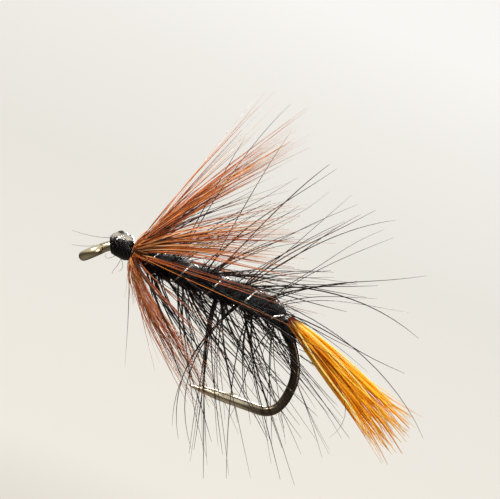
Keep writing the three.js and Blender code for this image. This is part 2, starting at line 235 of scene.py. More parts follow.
# The eye: the wire's end goes round until it almost meets its own neck, which leaves a fine gap.
eye_turn = np.radians(np.linspace(0, 324, 129))
eye_forward = np.array([math.sqrt(0.5), 0, math.sqrt(0.5)])
eye_path = eye_radius * (
    np.cos(eye_turn)[:, None] * eye_forward + np.sin(eye_turn)[:, None] * np.array([0, 1.0, 0])
)
eye_axis = np.array([[[-math.sqrt(0.5), 0, math.sqrt(0.5)]]])
eye_ends = np.interp(np.linspace(0, 1, 129), [0, 0.97, 1], [1, 1, 0.86]) * eye_wire_radius
hook_eye = bend_bars(
    "hook_eye", straight_bar(16, [15, 7]), eye_path[None], eye_ends, eye_ends, eye_axis, [0.5]
)
# The eye is read at the start of the ramp, where the wire is painted pale as a painted reflection.
hook_eye.data.attributes["along"].data.foreach_set("value", np.zeros(len(hook_eye.data.vertices)))

# The barb: a sliver cut from the top of the spear and lifted, its free end towards the bend.
barb_lift = bezier([(9.55, 0, -4.78), (10.1, 0, -4.66), (10.45, 0, -4.52), (10.78, 0, -4.36)], 17)
barb_half = np.interp(np.linspace(0, 1, 17), [0, 0.3, 0.85, 1], [0.1, 0.11, 0.05, 0.012])
hook_barb = bend_bars(
    "hook_barb", straight_bar(10, [15]), barb_lift[None], barb_half, barb_half * 0.55, far_side, [0.5]
)
# The barb is read near the spear's end of the ramp, where the wire is painted pale as a painted reflection.
hook_barb.data.attributes["along"].data.foreach_set("value", np.full(len(hook_barb.data.vertices), 0.92))

bpy.ops.object.select_all(action="DESELECT")
for part in (hook_eye, hook_barb, hook):
    part.select_set(True)
bpy.context.view_layer.objects.active = hook
bpy.ops.object.join()

# Bronzed steel: an oxidised, lacquered metal skin. Along the wire its colour carries painted light: painted
# shade makes it dark brown on the bend, and painted reflection makes it pale nickel-grey at the eye and the
# spear. Its fine drawing lines only show as mottling.
bronzed_steel = new_material("bronzed_steel_wire")
along = add_node(bronzed_steel, "ShaderNodeAttribute", {"attribute_name": "along"}, {})
mottle = noise(bronzed_steel, 3200.0, 4.0)
mottle_jitter = add_node(
    bronzed_steel,
    "ShaderNodeMath",
    {"operation": "MULTIPLY_ADD", 1: 0.06, 2: -0.03},
    {0: (mottle, "Fac")},
)
painted_light_place = add_node(bronzed_steel, "ShaderNodeMath", {"operation": "ADD"}, {0: (along, "Fac"), 1: (mottle_jitter, 0)})
# The ramp along the wire is painted light: painted shade on the bend, painted reflection at the eye and
# spear.
finish = add_node(
    bronzed_steel,
    "ShaderNodeValToRGB",
    {"stops": [(0.0, "#c4b897"), (0.06, "#9c8f74"), (0.55, "#4f4436"), (0.7, "#4a3f32"),
               (0.79, "#857860"), (0.86, "#d6caae"), (1.0, "#f0e4c6")]},
    {"Fac": (painted_light_place, 0)},
)
gloss = mapped(bronzed_steel, (mottle, "Fac"), 0.12, 0.26)
skin = bumped(bronzed_steel, (mottle, "Fac"), 0.15, 0.00001)
add_surface(
    bronzed_steel,
    {"Metallic": 1.0, "Coat Weight": 0.2, "Coat Roughness": 0.12},
    {"Base Color": (finish, "Color"), "Roughness": (gloss, "Result"), "Normal": (skin, "Normal")},
)
hook.data.materials.append(bronzed_steel)
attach(hook, "hook_and_body")
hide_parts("hook")


# ---- Thread base ------------------------------------------------------------------------------
# Fine waxed black thread, wound in touching turns from the head to a little way down the bend. It
# grips the wire and gives the body something to hold on to. Only its rear end shows.

body_start = 2.43
body_end = 11.3145
collar_start = 1.81
base_radius = 0.32
base_thread_radius = 0.04


def wind(start, end, pitch, radius, rows, first_clock):
    """A path in mm of turns round the wire, the way outwards at each point and the way across."""
    places = np.linspace(start, end, rows + 1)
    outward = wire_outward(places, first_clock + 360 * (places - start) / pitch)
    path = wire_centre(places) + outward * radius(places)[:, None]
    across = unit(np.cross(outward, unit(np.gradient(path, axis=0))))
    return path, outward, across


def wound(name, corners, cuts, start, end, pitch, radius, wide, high, first_clock=90.0):
    """A thread or a quill wound round the wire: a bar of many rings, bent along its turns."""
    rows = math.prod(cut + 1 for cut in cuts)
    path, _, across = wind(start, end, pitch, radius, rows, first_clock)
    return bend_bars(name, straight_bar(corners, cuts), path[None], wide, high, across[None], [0.5])


core_places = np.linspace(collar_start, thread_end - 0.05, 65)
base_core = bend_bars(
    "thread_base_core", straight_bar(20, [15, 3]), wire_centre(core_places)[None],
    base_radius, base_radius, far_side, [0.5],
)


def dressing_radius(place):
    return np.interp(place, [body_end, thread_end - 0.4, thread_end], [0.355, 0.345, 0.315])


dressing = wound(
    "thread_base_turns", 6, [15, 15], body_end - 0.25, thread_end, 0.082, dressing_radius,
    base_thread_radius, base_thread_radius * 0.75)

# Waxed nylon thread: near black, smooth and slightly greasy, so each turn carries a soft line of
# light. The twist of the filaments is too fine to see, so it is drawn at 0.05 mm.
waxed_thread = new_material("waxed_black_thread")
twist = noise(waxed_thread, 20000.0, 2.0)
thread_colour = add_node(
    waxed_thread,
    "ShaderNodeValToRGB",
    {"stops": [(0.3, "#020202"), (0.6, "#080708"), (0.8, "#141315")]},
    {"Fac": (twist, "Fac")},
)
thread_gloss = mapped(waxed_thread, (twist, "Fac"), 0.35, 0.55)
thread_skin = bumped(waxed_thread, (twist, "Fac"), 0.3, 0.00001)
add_surface(
    waxed_thread,
    {"Specular IOR Level": 0.14},
    {"Base Color": (thread_colour, "Color"), "Roughness": (thread_gloss, "Result"),
     "Normal": (thread_skin, "Normal")},
)
for part in (base_core, dressing):
    part.data.materials.append(waxed_thread)
    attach(part, "hook_and_body")
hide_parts("thread_base")


# ---- Tail -------------------------------------------------------------------------------------
# Three clumps of golden crest-feather fibres, tied in by their butts on top of the wire behind the
# body. Their fibres lie fused side by side near the root and part into points at the tips.

hinges = {joint["child"]: joint for joint in frame["joints"]}
luck = np.random.default_rng(11)
barb_steps = 12
barb_marks = np.linspace(0, 1, barb_steps + 1)
fibre_bar = straight_bar(3, [barb_steps - 1])


def grown(roots, start, finish, length, bow, wave, rows=barb_steps, ease=3):
    """Paths in mm that leave their roots along start and come round to finish, with a bow and a
    slight wave of their own. Their points lie closer together near the root, where they turn most."""
    marks = (np.arange(rows + 1) / rows) ** 1.3
    share = ((marks[1:] + marks[:-1]) / 2)[None, :, None]
    heading = start[:, None] * (1 - share) ** ease + finish[:, None] * (1 - (1 - share) ** ease)
    heading = heading + bow[:, None] * np.sin(share * math.pi * 0.5)
    heading = heading + wave[:, None] * np.sin(share * math.pi * 2.6)
    steps = unit(heading) * (length[:, None, None] * np.diff(marks)[None, :, None])
    walk = np.concatenate([np.zeros_like(steps[:, :1]), np.cumsum(steps, axis=1)], axis=1)
    return roots[:, None] + walk


bare_wire = wire_centre(np.linspace(body_end + 0.5, wire_length, 240))


def clear_of_wire(paths, room=0.37, skip=3):
    """Which paths stay clear of the bare wire of the bend and the spear, beyond their roots."""
    fine = np.concatenate([paths[:, :-1] * (1 - f) + paths[:, 1:] * f for f in (0, 0.34, 0.67)], axis=1)
    order = np.tile(np.arange(paths.shape[1] - 1), 3)
    fine = fine[:, order >= skip]
    gap = np.linalg.norm(fine[:, :, None] - bare_wire[None, None], axis=3).min(axis=(1, 2))
    return gap > room


def tinted(material, under, code, low, high, at_low, at_high):
    """Lays a colour over a linked one, with a share that depends on how far along its barb it is."""
    along = add_node(material, "ShaderNodeAttribute", {"attribute_name": "along"}, {})
    limits = {"From Min": low, "From Max": high, "To Min": at_low, "To Max": at_high}
    share = add_node(material, "ShaderNodeMapRange", limits, {"Value": (along, "Fac")})
    settings = {"data_type": "RGBA", 7: paint(code)}
    return add_node(material, "ShaderNodeMix", settings, {0: (share, "Result"), 6: under})


# The clumps: slope and turn aside in degrees, length in mm, fibres, locks and the locks' spread.
tail_clumps = {
    "tail_feather_1": {"slope": -26.5, "aside": 0.0, "length": 9.5, "count": 46, "locks": 7, "spread": 2.2},
    "tail_feather_2": {"slope": -31.5, "aside": -3.0, "length": 9.3, "count": 20, "locks": 5, "spread": 2.4},
    "tail_feather_3": {"slope": -19.5, "aside": 3.0, "length": 9.3, "count": 18, "locks": 4, "spread": 1.8},
}

# Golden crest feather: keratin fibres dyed by nature, glossy and half clear, amber where they lie
# deep, pale straw at the thin tips and red-brown at the butts under the thread.
golden_feather = new_material("golden_crest_feather")
chance = add_node(golden_feather, "ShaderNodeAttribute", {"attribute_name": "chance"}, {})
fibre_colour = add_node(
    golden_feather,
    "ShaderNodeValToRGB",
    {"stops": [(0.0, "#ea9e14"), (0.25, "#f8ba1c"), (0.6, "#fccc2a"), (0.85, "#fedc50"),
               (1.0, "#feea9c")]},
    {"Fac": (chance, "Fac")},
)
paled = tinted(golden_feather, (fibre_colour, "Color"), "#e2b468", 0.75, 1.0, 0.0, 0.5)
butted = tinted(golden_feather, (paled, 2), "#8a3c12", 0.03, 0.13, 1.0, 0.0)
front_light = add_node(
    golden_feather,
    "ShaderNodeBsdfPrincipled",
    {"Roughness": 0.36, "Specular IOR Level": 0.45},
    {"Base Color": (butted, 2)},
)
back_light = add_node(golden_feather, "ShaderNodeBsdfTranslucent", {}, {"Color": (butted, 2)})
surface = add_node(
    golden_feather, "ShaderNodeMixShader", {0: 0.6}, {1: (front_light, "BSDF"), 2: (back_light, "BSDF")}
)
add_node(golden_feather, "ShaderNodeOutputMaterial", {}, {"Surface": (surface, "Shader")})

# All fibres leave the thread at one slope. A clump's slope is the mean of that and its tips' slope.
tail_root_slope = -26.0
for name, clump in tail_clumps.items():
    root = np.array(hinges[name]["pos_m"]) * 1000
    candidates = clump["count"] * 2
    lock = luck.integers(0, clump["locks"], candidates)
    lock_slope = luck.uniform(-clump["spread"], clump["spread"], clump["locks"])
    lock_aside = luck.normal(0, 2.6, clump["locks"])
    end_slope = 2 * (clump["slope"] + lock_slope[lock]) - tail_root_slope
    slope = np.radians(end_slope + luck.normal(0, 1.6, candidates))
    aside = np.radians(clump["aside"] + lock_aside[lock] + luck.normal(0, 1.6, candidates))
    finish = np.stack([np.cos(slope) * np.cos(aside), np.sin(aside), np.sin(slope) * np.cos(aside)], -1)
    start_slope = np.radians(tail_root_slope + 1 + luck.normal(0, 6.5, candidates))
    start = np.stack([np.cos(start_slope), luck.normal(0, 0.09, candidates), np.sin(start_slope)], -1)
    shift = np.stack([luck.uniform(-0.35, 0.1, candidates), luck.normal(0, 0.15, candidates),
                      luck.normal(0.03, 0.13, candidates)], -1)
    length = clump["length"] * luck.uniform(0.84, 1.03, candidates)
    bow = luck.normal(0, 0.03, (candidates, 3))
    wave = luck.normal(0, 0.04, (candidates, 3))
    paths = grown(root + shift, start, finish, length, bow, wave, ease=1)
    paths = paths[clear_of_wire(paths, 0.4, 2)][:clump["count"]]
    taper = np.interp(barb_marks, [0, 0.2, 0.6, 0.85, 1], [0.7, 1.0, 0.9, 0.5, 0.14])
    wide = luck.uniform(0.06, 0.14, len(paths))[:, None] * taper
    facing = luck.normal(0, 1, (len(paths), 1, 3)) * np.array([0.2, 0.3, 1.0])
    feather = bend_bars(
        name + "_fibres", fibre_bar, paths, wide, wide * 0.3, facing, luck.uniform(0, 1, len(paths)))
    feather.data.materials.append(golden_feather)
    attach(feather, name)
    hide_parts(name)


# ---- Body -------------------------------------------------------------------------------------
# Black fur twisted onto waxed thread and wound over the thread base, pressed down where the tinsel
# and the hackle quill lie over it. Loose fur ends stand off it all round.

body_radius_full = 0.8
body_turns = 4.5
body_pitch = (body_end - body_start) / body_turns
rib_groove_width = 0.38
quill_groove_width = 0.26


def body_radius(place):
    middle = 2 * (place - body_start) / (body_end - body_start) - 1
    return body_radius_full * (1 - 0.3 * np.abs(middle) ** 8)


def pressed_by(place, clock, winding_clock, depth, width):
    """How far the fur is pressed in at a place by a winding whose clock angle there is known."""
    turn = (clock - winding_clock(place)) / 360
    off = (turn - np.rint(turn)) * body_pitch
    return depth * np.exp(-((off / width) ** 2))


def quill_clock(place):
    return 90 - 360 * (place - body_start) / body_pitch


def rib_clock(place):
    return quill_clock(place) + 180


bpy.ops.object.select_all(action="DESELECT")
bpy.ops.mesh.primitive_grid_add(x_subdivisions=220, y_subdivisions=64, size=2)
body = bpy.context.object
body.name = "body_fur"
sheet = np.array([corner.co for corner in body.data.vertices])
fur_place = body_start + (sheet[:, 0] + 1) / 2 * (body_end - body_start)
fur_clock = (sheet[:, 1] + 1) * 180
strands = np.sin(np.radians(fur_clock) * 2 + fur_place * 21) * 0.35
strands = strands + np.sin(np.radians(fur_clock) * 5 - fur_place * 37 + 1.3) * 0.3
strands = strands + np.sin(np.radians(fur_clock) * 3 + fur_place * 9.5 + 0.6) * 0.6
fur_radius = body_radius(fur_place) + 0.03 * strands
fur_radius = fur_radius - pressed_by(fur_place, fur_clock, rib_clock, 0.23, rib_groove_width)
fur_radius = fur_radius - pressed_by(fur_place, fur_clock, quill_clock, 0.14, quill_groove_width)
end_share = np.abs(2 * (fur_place - body_start) / (body_end - body_start) - 1)
fur_radius = np.where(end_share > 0.999, 0.34, fur_radius)
spots = wire_centre(fur_place) + wire_outward(fur_place, fur_clock) * fur_radius[:, None]
for corner, spot in zip(body.data.vertices, spots):
    corner.co = Vector(spot * 0.001)
bpy.context.view_layer.objects.active = body
bpy.ops.object.mode_set(mode="EDIT")
bpy.ops.mesh.select_all(action="SELECT")
bpy.ops.mesh.remove_doubles(threshold=1e-7)
bpy.ops.mesh.select_all(action="DESELECT")
bpy.ops.mesh.select_mode(type="EDGE")
bpy.ops.mesh.select_non_manifold(extend=False)
bpy.ops.mesh.edge_face_add()
bpy.ops.mesh.select_all(action="SELECT")
bpy.ops.mesh.normals_make_consistent(inside=False)
bpy.ops.mesh.select_mode(type="VERT")
bpy.ops.object.mode_set(mode="OBJECT")
bpy.ops.object.shade_smooth()

# The loose fur: short, thin and curled, most of it lying back along the body.
fuzz_count = 720
fuzz_place = luck.uniform(body_start + 0.1, body_end - 0.1, fuzz_count)
fuzz_clock = luck.uniform(0, 360, fuzz_count)
fuzz_out = wire_outward(fuzz_place, fuzz_clock)
fuzz_along = wire_along(fuzz_place)
fuzz_side = np.cross(fuzz_out, fuzz_along)
fuzz_radius = body_radius(fuzz_place) - 0.07
fuzz_radius = fuzz_radius - pressed_by(fuzz_place, fuzz_clock, rib_clock, 0.2, rib_groove_width)
fuzz_root = wire_centre(fuzz_place) + fuzz_out * fuzz_radius[:, None]
lie = luck.uniform(-0.5, 1.2, fuzz_count)[:, None]
stand = luck.uniform(0.25, 1.1, fuzz_count)[:, None]
turn_aside = luck.normal(0, 0.8, fuzz_count)[:, None]
fuzz_start = unit(fuzz_out * stand + fuzz_along * lie + fuzz_side * turn_aside)
fuzz_finish = unit(fuzz_start + luck.normal(0, 0.9, (fuzz_count, 3)))
fuzz_paths = grown(
    fuzz_root, fuzz_start, fuzz_finish, luck.uniform(0.35, 1.15, fuzz_count),
    luck.normal(0, 0.4, (fuzz_count, 3)), luck.normal(0, 0.25, (fuzz_count, 3)), 8)
fuzz_half = np.linspace(0.016, 0.006, 9) * np.ones((fuzz_count, 1))
fuzz = bend_bars(
    "body_fur_fibres", straight_bar(3, [7]), fuzz_paths, fuzz_half, fuzz_half,
    luck.normal(0, 1, (fuzz_count, 1, 3)), luck.uniform(0, 1, fuzz_count))

# Spun fur: deep black with a blue-violet sheen on the lie of the hairs. Single hairs are about
# 0.02 mm, too fine to show, so the streaks are drawn at about 0.08 mm.
spun_fur = new_material("spun_black_fur")
place = add_node(spun_fur, "ShaderNodeTexCoord", {}, {})
stretch = add_node(
    spun_fur, "ShaderNodeMapping", {"Scale": (2.2, 1.0, 1.0), "Rotation": (0.0, 0.6, 0.3)},
    {"Vector": (place, "Object")},
)
streaks = add_node(
    spun_fur, "ShaderNodeTexNoise", {"Scale": 5200.0, "Detail": 5.0, "Roughness": 0.65},
    {"Vector": (stretch, "Vector")},
)
fur_colour = add_node(
    spun_fur,
    "ShaderNodeValToRGB",
    {"stops": [(0.3, "#020202"), (0.52, "#070608"), (0.68, "#101014"), (0.85, "#26262e")]},
    {"Fac": (streaks, "Fac")},
)
fur_gloss = mapped(spun_fur, (streaks, "Fac"), 0.22, 0.55)
fur_skin = bumped(spun_fur, (streaks, "Fac"), 1.0, 0.00012)
add_surface(
    spun_fur,
    {"Specular IOR Level": 0.3},
    {"Base Color": (fur_colour, "Color"), "Roughness": (fur_gloss, "Result"),
     "Normal": (fur_skin, "Normal")},
)
for part in (body, fuzz):
    part.data.materials.append(spun_fur)
    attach(part, "hook_and_body")
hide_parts("body_dubbing")


# ---- Rib --------------------------------------------------------------------------------------
# Flat silver tinsel wound over the body in open turns, which ties the fur down and splits it into
# segments. It is soft, so it takes small dents and twists from the fur under it.

rib_inset = 0.3
rib_sunk = 0.115
rib_rows = 256
rib_path, rib_outward, rib_across = wind(
    body_start + rib_inset, body_end - rib_inset, -body_pitch,
    lambda place: body_radius(place) - rib_sunk, rib_rows, float(rib_clock(body_start + rib_inset)))
rib_row = np.arange(rib_rows + 1)
rib_tilt = 0.5 * np.sin(rib_row * 0.55) + 0.35 * np.sin(rib_row * 0.23 + 1)
rib_across = unit(rib_across + rib_outward * rib_tilt[:, None])
rib_wide = 0.065 + 0.015 * np.sin(rib_row * 0.41)
rib_path = rib_path + rib_outward * (0.025 * np.sin(rib_row * 2.1) * np.sin(rib_row * 0.37))[:, None]
rib_half_thickness = 0.045
rib = bend_bars(
    "rib_tinsel_band", straight_bar(8, [15, 15]), rib_path[None], rib_wide, rib_half_thickness,
    rib_across[None], [0.5])

# Silver tinsel: a bright rolled metal strip. It mirrors the room, and its creases break the mirror
# into sparks.
tinsel = new_material("silver_tinsel")
creases = noise(tinsel, 3000.0, 2.0)
tinsel_colour = add_node(
    tinsel,
    "ShaderNodeValToRGB",
    {"stops": [(0.35, "#6f6c64"), (0.5, "#d8d6d0"), (0.8, "#f4f2ea")]},
    {"Fac": (creases, "Fac")},
)
tinsel_gloss = mapped(tinsel, (creases, "Fac"), 0.12, 0.3)
tinsel_skin = bumped(tinsel, (creases, "Fac"), 0.6, 0.00006)
add_surface(
    tinsel,
    {"Metallic": 1.0},
    {"Base Color": (tinsel_colour, "Color"), "Roughness": (tinsel_gloss, "Result"),
     "Normal": (tinsel_skin, "Normal")},
)
rib.data.materials.append(tinsel)
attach(rib, "hook_and_body")
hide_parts("rib_tinsel")


# ---- Body hackle ------------------------------------------------------------------------------
# One black feather wound along the body half a turn from the rib. Its quill is a thin springy stem
# that sinks into the fur, and its barbs stand out from it, stuck together in small locks.

quill_start = body_start + 0.12
quill_sunk = 0.05
body_quill = wound(
    "body_hackle_stem", 7, [15, 15], quill_start, body_end - 0.35, -body_pitch,
    lambda place: body_radius(place) - quill_sunk, 0.06, 0.05, float(quill_clock(quill_start)))

# Black cock hackle: glossy keratin, blue-black in bulk, brown where a barb is thin enough for light
# to come through. Each barb is a shade of its own.
black_hackle = new_material("black_cock_hackle")
chance = add_node(black_hackle, "ShaderNodeAttribute", {"attribute_name": "chance"}, {})
barb_colour = add_node(
    black_hackle,
    "ShaderNodeValToRGB",
    {"stops": [(0.0, "#040303"), (0.5, "#0d0806"), (0.75, "#20130e"), (0.9, "#3c261e"), (1.0, "#5c3e32")]},
    {"Fac": (chance, "Fac")},
)
thinned = tinted(black_hackle, (barb_colour, "Color"), "#42332f", 0.6, 1.0, 0.0, 0.4)
barb_gloss = mapped(black_hackle, (chance, "Fac"), 0.36, 0.55)
add_surface(
    black_hackle,
    {"Specular IOR Level": 0.12},
    {"Base Color": (thinned, 2), "Roughness": (barb_gloss, "Result")},
)
body_quill.data.materials.append(black_hackle)
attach(body_quill, "hook_and_body")
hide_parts("body_hackle_quill")


def lean_out(place, clock, lean, aside):
    """A heading that leans from the wire's own way out to its clock angle, turned aside a little."""
    outward = wire_outward(place, clock)
    along = wire_along(place)
    across = np.cross(outward, along)
    lean = np.radians(lean)[:, None]
    aside = np.radians(aside)[:, None]
    return np.cos(lean) * along + np.sin(lean) * (np.cos(aside) * outward + np.sin(aside) * across)


# The bunches in the order that the quill meets them, once a quarter turn: lean from the wire at the
# front and at the rear of the body, length in mm, barbs, locks, and the spread of the locks' leans
# and of their clock angles.
quarters = {
    "top": {"lean": (56.0, 48.0), "length": 9.4, "count": 8, "locks": 6, "spread": 8.0, "turn": 45},
    "far": {"lean": (50.0, 38.0), "length": 9.2, "count": 13, "locks": 8, "spread": 13.0, "turn": 55},
    "under": {"lean": (58.0, 64.0), "length": 9.8, "count": 19, "locks": 12, "spread": 15.0, "turn": 60},
    "near": {"lean": (50.0, 36.0), "length": 9.2, "count": 12, "locks": 8, "spread": 13.0, "turn": 55},
}
bunch_count = 18

# A few long stray barbs that have come out of their locks, with the bunch each grows in.
body_strays = {
    "body_hackle_4_under": [
        [(8.8, -0.1, 0.4), (7.1, -0.3, -2.7), (6.9, -0.4, -5.4), (8.5, -0.5, -8.0)],
        [(8.7, -0.2, 0.4), (7.3, -0.5, -2.6), (7.0, -0.6, -5.2), (7.9, -0.7, -7.4)],
        [(8.9, 0.0, 0.4), (7.0, -0.1, -2.9), (7.4, -0.2, -5.8), (9.4, -0.2, -8.3)],
    ],
    "body_hackle_5_top": [
        [(11.3, -0.4, 1.3), (14.6, -1.4, 1.2), (18.4, -2.2, 0.0), (21.0, -2.6, -2.6)],
        [(11.2, -0.5, 0.5), (15.5, -1.2, -1.0), (17.6, -1.5, -2.6), (16.3, -1.6, -4.6)],
    ],
    "body_hackle_4_top": [
        [(9.0, 0.0, 1.5), (12.0, -0.5, 3.0), (15.5, -0.9, 3.6), (18.9, -1.0, 2.4)],
        [(8.9, 0.1, 1.5), (11.4, 0.4, 5.4), (13.6, 0.6, 7.2), (15.4, 0.8, 8.2)],
    ],
    "body_hackle_3_top": [
        [(7.0, 0.0, 1.5), (8.4, -0.4, 5.4), (9.6, -0.8, 8.0), (10.6, -1.0, 9.6)],
        [(6.5, 0.0, 1.5), (6.9, -0.2, 4.8), (7.3, -0.3, 8.0), (7.9, -0.4, 10.6)],
    ],
    "body_hackle_2_top": [
        [(4.7, 0.0, 1.5), (5.2, -0.3, 5.2), (5.9, -0.5, 9.0), (7.3, -0.6, 12.0)],
        [(4.6, -0.1, 1.5), (4.9, -0.3, 4.4), (5.2, -0.4, 7.0), (5.6, -0.5, 9.2)],
    ],
}

for index in range(bunch_count):
    quarter = list(quarters)[index % 4]
    lock_kind = quarters[quarter]
    name = f"body_hackle_{index // 4 + 1}_{quarter}"
    front_lean, rear_lean = lock_kind["lean"]
    lean = front_lean + (rear_lean - front_lean) * (index / (bunch_count - 1))
    clock = 90 - 90 * index
    count = lock_kind["count"]

    # The collar hides the front of the feather, and the rear of it is its thin end.
    if quarter == "top" and index < 8:
        count = 5
    if index == 2:
        count = 12
    if quarter != "under" and index > 10:
        count = count - 3
    candidates = count * 3
    locks = lock_kind["locks"]
    lock = luck.integers(0, locks, candidates)
    lock_turn = luck.uniform(-lock_kind["turn"], lock_kind["turn"], locks)
    lock_lean = luck.normal(0, lock_kind["spread"], locks)
    lock_aside = luck.normal(0, 10, locks)
    turn = lock_turn[lock] + luck.normal(0, 4, candidates)
    place = body_start + body_pitch * (90 - clock - turn) / 360 + luck.normal(0, 0.24, locks)[lock]
    place = np.clip(place, body_start + 0.06, body_end - 0.2) + luck.normal(0, 0.04, candidates)
    own_lean = lean + lock_lean[lock] + luck.normal(0, 3.2, candidates)

    # The under barbs in front all lean back, so that they stay behind the collar.
    if quarter == "under":
        own_lean = np.minimum(own_lean, 50 + 2.6 * index)
    own_aside = lock_aside[lock] + luck.normal(0, 3.5, candidates)
    roots = wire_centre(place) + wire_outward(place, clock + turn) * (body_radius(place) - 0.08)[:, None]
    start = lean_out(place, clock + turn, own_lean + 12, own_aside)
    finish = lean_out(place, clock + turn, own_lean - 6, own_aside)
    length = lock_kind["length"] * luck.uniform(0.66, 1.06, candidates)
    bow = luck.normal(0, 0.09, (locks, 3))[lock] + luck.normal(0, 0.035, (candidates, 3))
    wave = luck.normal(0, 0.045, (candidates, 3))
    paths = grown(roots, start, finish, length, bow, wave)
    paths = paths[clear_of_wire(paths)][:count]
    strays = body_strays.get(name, [])
    if strays:
        paths = np.concatenate([paths, np.array([bezier(corners, len(barb_marks)) for corners in strays])])
    taper = np.interp(barb_marks, [0, 0.1, 0.5, 0.85, 1], [1.0, 0.95, 0.72, 0.42, 0.18])
    wide = luck.uniform(0.034, 0.06, len(paths))[:, None] * taper
    if quarter == "under":
        wide = wide * 1.18
    facing = luck.normal(0, 1, (len(paths), 1, 3))
    bunch = bend_bars(
        name + "_barbs", fibre_bar, paths, wide, wide * 0.7, facing, luck.uniform(0, 1, len(paths)))
    bunch.data.materials.append(black_hackle)
    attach(bunch, name)
    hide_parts(name)


# ---- Collar hackle ----------------------------------------------------------------------------
# One red-brown feather wound three close turns behind the head and swept back over the body. The
# barbs crowd together at the quill in flat sheets and spread out one by one towards their tips.

collar_end = 2.37
collar_inset = 0.095
collar_turns = 3
collar_stem_radius = 0.455
collar_quill = wound(
    "collar_hackle_stem", 8, [15, 8], collar_start + collar_inset, collar_end - collar_inset,
    (collar_start - collar_end + 2 * collar_inset) / collar_turns,
    lambda place: np.full(len(place), collar_stem_radius), 0.072, 0.066, 0.0)

# Red-brown cock hackle: glossy keratin, orange-brown where light comes through, dark along its
# middle in some barbs, paler and greyer at the thin tips.
brown_hackle = new_material("red_brown_cock_hackle")
chance = add_node(brown_hackle, "ShaderNodeAttribute", {"attribute_name": "chance"}, {})
barb_colour = add_node(
    brown_hackle,
    "ShaderNodeValToRGB",
    {"stops": [(0.0, "#24120d"), (0.16, "#4a2214"), (0.26, "#8e4119"), (0.55, "#b85a20"),
               (0.8, "#cf7c34"), (0.92, "#e0a05c"), (1.0, "#ecc290")]},
    {"Fac": (chance, "Fac")},
)
thinned = tinted(brown_hackle, (barb_colour, "Color"), "#74492f", 0.6, 1.0, 0.0, 0.6)
rooted = tinted(brown_hackle, (thinned, 2), "#5e2a12", 0.0, 0.12, 0.75, 0.0)
add_surface(
    brown_hackle,
    {"Roughness": 0.34, "Specular IOR Level": 0.5, "Coat Weight": 0.15, "Coat Roughness": 0.25,
     "Subsurface Weight": 0.2, "Subsurface Radius": (0.3, 0.1, 0.03), "Subsurface Scale": 0.0003},
    {"Base Color": (rooted, 2)},
)
collar_quill.data.materials.append(brown_hackle)
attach(collar_quill, "hook_and_body")
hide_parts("collar_quill")

# The locks of each bunch: clock angle, lean from the wire, length in mm, barbs, and shade from dark
# (0) to golden (1).
collar_locks = {
    "top": [(84, 70, 10.6, 5, 0.5), (97, 66, 11.6, 6, 0.6), (90, 62, 12.0, 7, 0.6), (80, 59, 12.0, 7, 0.7),
            (101, 56, 11.6, 8, 0.55), (91, 53, 10.8, 7, 0.35), (104, 51, 11.8, 5, 0.0),
            (80, 62, 11.4, 4, 0.0)],
    "near_upper": [(118, 58, 11.8, 7, 0.7), (126, 59, 11.4, 8, 0.6), (132, 61, 10.6, 7, 0.4),
                   (138, 51, 11.8, 6, 0.02), (146, 45, 12.2, 8, 0.65)],
    "near": [(151, 42, 12.6, 9, 0.6), (155, 42, 12.4, 6, 0.25), (160, 41, 12.6, 11, 0.78),
             (158, 37, 12.8, 8, 0.72), (171, 31, 12.8, 3, 0.3), (178, 27, 13.2, 3, 0.65),
             (157, 41, 7.6, 9, 0.02), (151, 47, 6.8, 7, 0.02)],
    "near_lower": [(203, 34, 10.8, 4, 0.1), (212, 38, 10.4, 5, 0.15), (229, 36, 10.0, 6, 0.5),
                   (239, 34, 9.8, 6, 0.6), (247, 40, 9.2, 4, 0.5)],
    "under": [(256, 35, 9.4, 7, 0.6), (264, 29, 9.8, 7, 0.5), (272, 38, 8.6, 5, 0.65),
              (280, 43, 8.0, 4, 0.5), (288, 35, 9.2, 6, 0.35), (268, 49, 6.6, 3, 0.8)],
    "far_lower": [(299, 46, 9.8, 6, 0.5), (307, 45, 10.0, 6, 0.4), (326, 39, 10.4, 4, 0.2),
                  (338, 33, 11.0, 3, 0.3)],
    "far": [(29, 43, 12.4, 8, 0.5), (23, 41, 12.6, 7, 0.55), (19, 38, 12.8, 8, 0.45),
            (8, 31, 12.8, 4, 0.5), (1, 26, 13.2, 3, 0.6), (353, 28, 12.6, 3, 0.4)],
    "far_upper": [(64, 57, 11.8, 7, 0.6), (55, 59, 11.4, 7, 0.5), (49, 60, 10.8, 6, 0.35),
                  (41, 53, 11.8, 3, 0.15), (34, 46, 12.2, 8, 0.55)],
}

# A few long strays outside the locks, each with its shade, half width in mm and path.
collar_strays = {
    "collar_hackle_under": [
        (0.02, 0.036, [(2.1, -0.1, 0.25), (2.7, -0.2, -1.0), (3.4, -0.2, -3.0), (4.15, -0.2, -5.4)]),
    ],
    "collar_hackle_top": [
        (0.02, 0.036, [(2.1, 0.0, 1.35), (3.2, 0.2, 4.4), (4.0, 0.5, 7.8), (5.6, 0.8, 11.3)]),
    ],
    "collar_hackle_near_lower": [
        (0.3, 0.07, [(2.15, -0.35, 0.4), (3.6, -1.0, -0.9), (6.0, -1.5, -2.4), (8.6, -1.7, -4.5)]),
        (0.2, 0.06, [(2.1, -0.4, 0.4), (3.5, -1.1, -1.0), (5.8, -1.6, -2.5), (8.2, -1.8, -4.3)]),
        (0.4, 0.06, [(2.2, -0.3, 0.4), (3.5, -0.9, -0.8), (6.1, -1.4, -2.3), (8.4, -1.5, -4.2)]),
    ],
}
collar_middle = (collar_start + collar_end) / 2
web_count = 22
